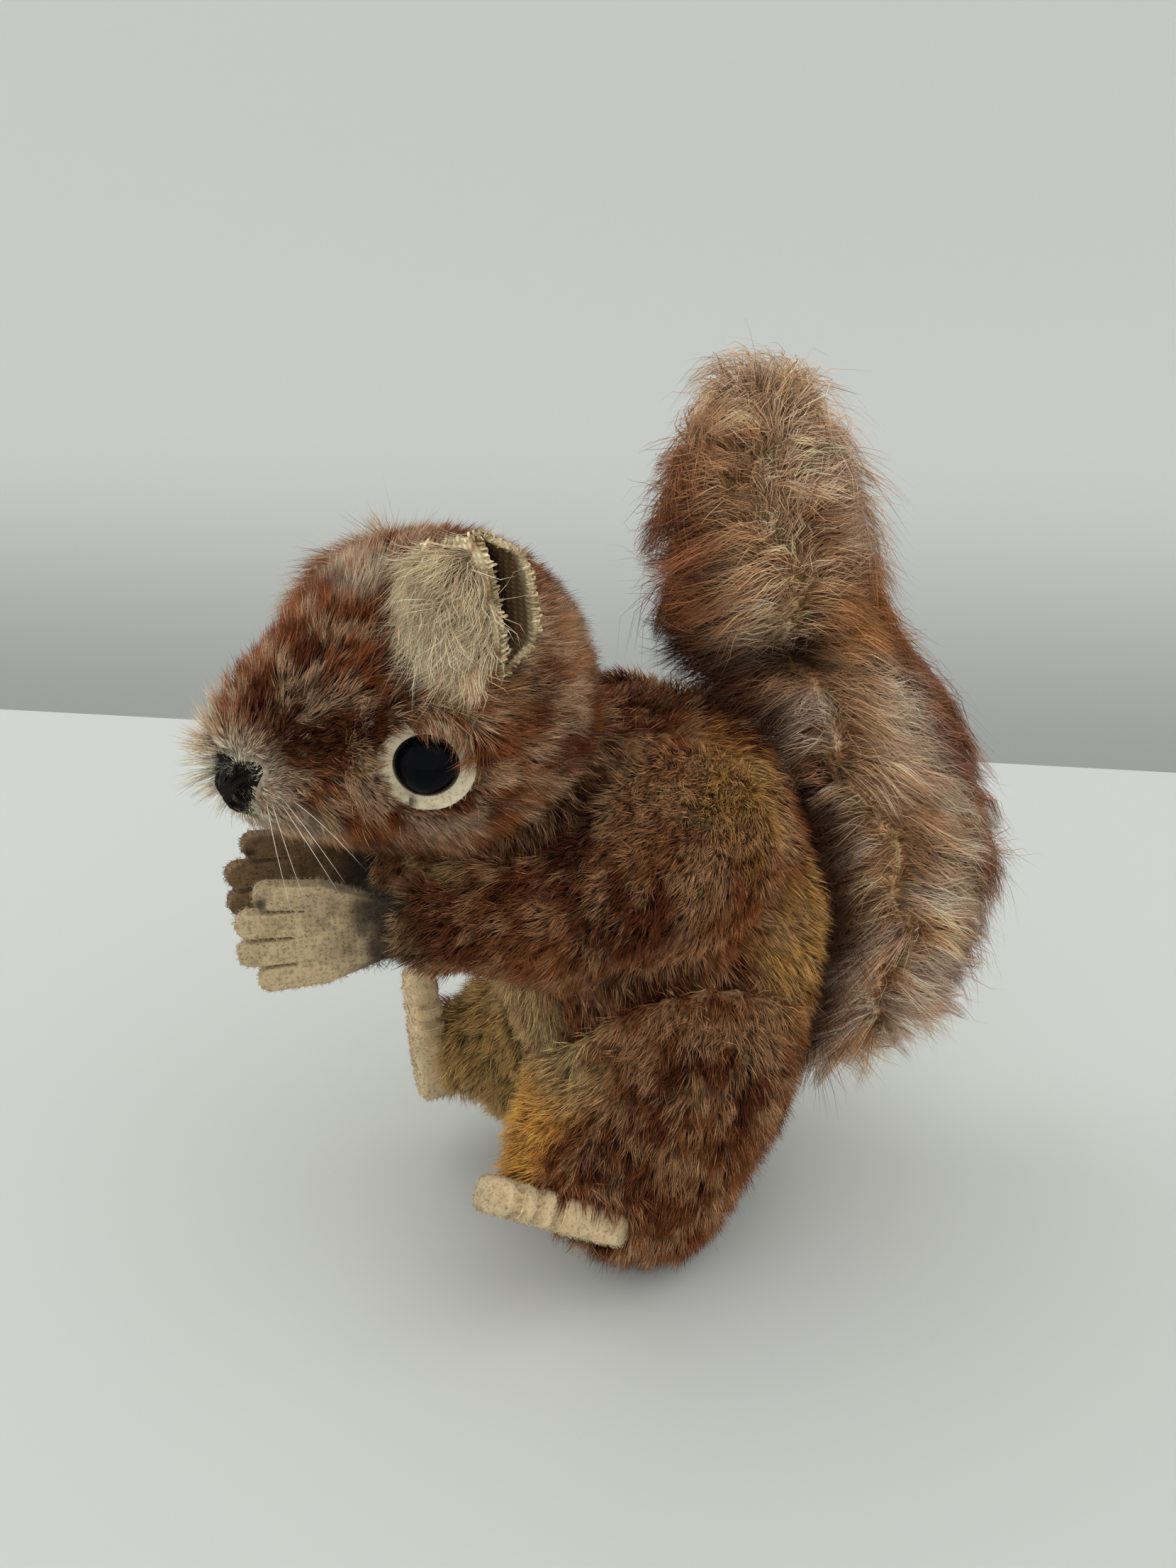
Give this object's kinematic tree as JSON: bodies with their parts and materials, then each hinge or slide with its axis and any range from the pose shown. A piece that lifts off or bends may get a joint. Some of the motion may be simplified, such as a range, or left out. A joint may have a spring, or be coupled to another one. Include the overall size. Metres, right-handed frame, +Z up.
{
  "type": "stuffed toy squirrel",
  "caption": "Sitting mohair squirrel with felt hands held out, felt feet, glass eyes, a bushy tail that curls up behind its back, and a head that turns on a disc joint.",
  "frame": {"origin": "middle of the flat seat, on the surface that the toy sits on", "axes": "-Y the way the toy faces, +X its own left side, +Z up"},
  "size_m": [0.0511, 0.1072, 0.1219],
  "materials": {
    "body_plush": "short brushed mohair, airbrushed red-brown over tan",
    "tail_plush": "long wavy mohair, cream in the middle and red-brown at the edges",
    "ear_plush": "pale mohair with a bare woven lining",
    "felt": "dense beige wool felt",
    "eye_felt": "thin cream wool felt",
    "black_glass": "polished",
    "thread": "cotton thread",
    "black_thread": "black cotton thread, faded grey on top",
    "nylon": "clear nylon thread",
    "wood_wool": "packed wood wool",
    "cardboard": "grey-brown board",
    "steel": "plain wire and sheet"
  },
  "bodies": {
    "torso": {"torso_cover": "body_plush", "torso_stuffing": "wood_wool", "left_leg_cover": "body_plush", "left_leg_stuffing": "wood_wool", "right_leg_cover": "body_plush", "right_leg_stuffing": "wood_wool", "left_arm_cover": "body_plush", "left_arm_stuffing": "wood_wool", "right_arm_cover": "body_plush", "right_arm_stuffing": "wood_wool", "left_hand": "felt", "right_hand": "felt", "left_foot_upper": "felt", "left_foot_sole": "felt", "right_foot_upper": "felt", "right_foot_sole": "felt", "left_toe_stitches": "thread", "right_toe_stitches": "thread", "tail_left_cover": "tail_plush", "tail_right_cover": "tail_plush", "tail_stuffing": "wood_wool", "torso_neck_disc": "cardboard", "torso_neck_washer": "steel", "neck_split_pin": "steel"},
    "head": {"head_neck_disc": "cardboard", "head_neck_washer": "steel", "head_cover": "body_plush", "head_stuffing": "wood_wool", "left_ear": "ear_plush", "right_ear": "ear_plush", "left_eye_felt": "eye_felt", "right_eye_felt": "eye_felt", "left_eye": "black_glass", "right_eye": "black_glass", "left_eye_loop": "steel", "right_eye_loop": "steel", "eye_cord": "thread", "nose_stitching": "black_thread", "left_whiskers": "nylon", "right_whiskers": "nylon"}
  },
  "joints": [
    {"name": "neck_turn", "type": "hinge", "parent": "torso", "child": "head", "pos_m": [0, -0.0245, 0.0746], "axis": [0, -0.5446, 0.8387], "range_deg": [-102, 78]}
  ]
}
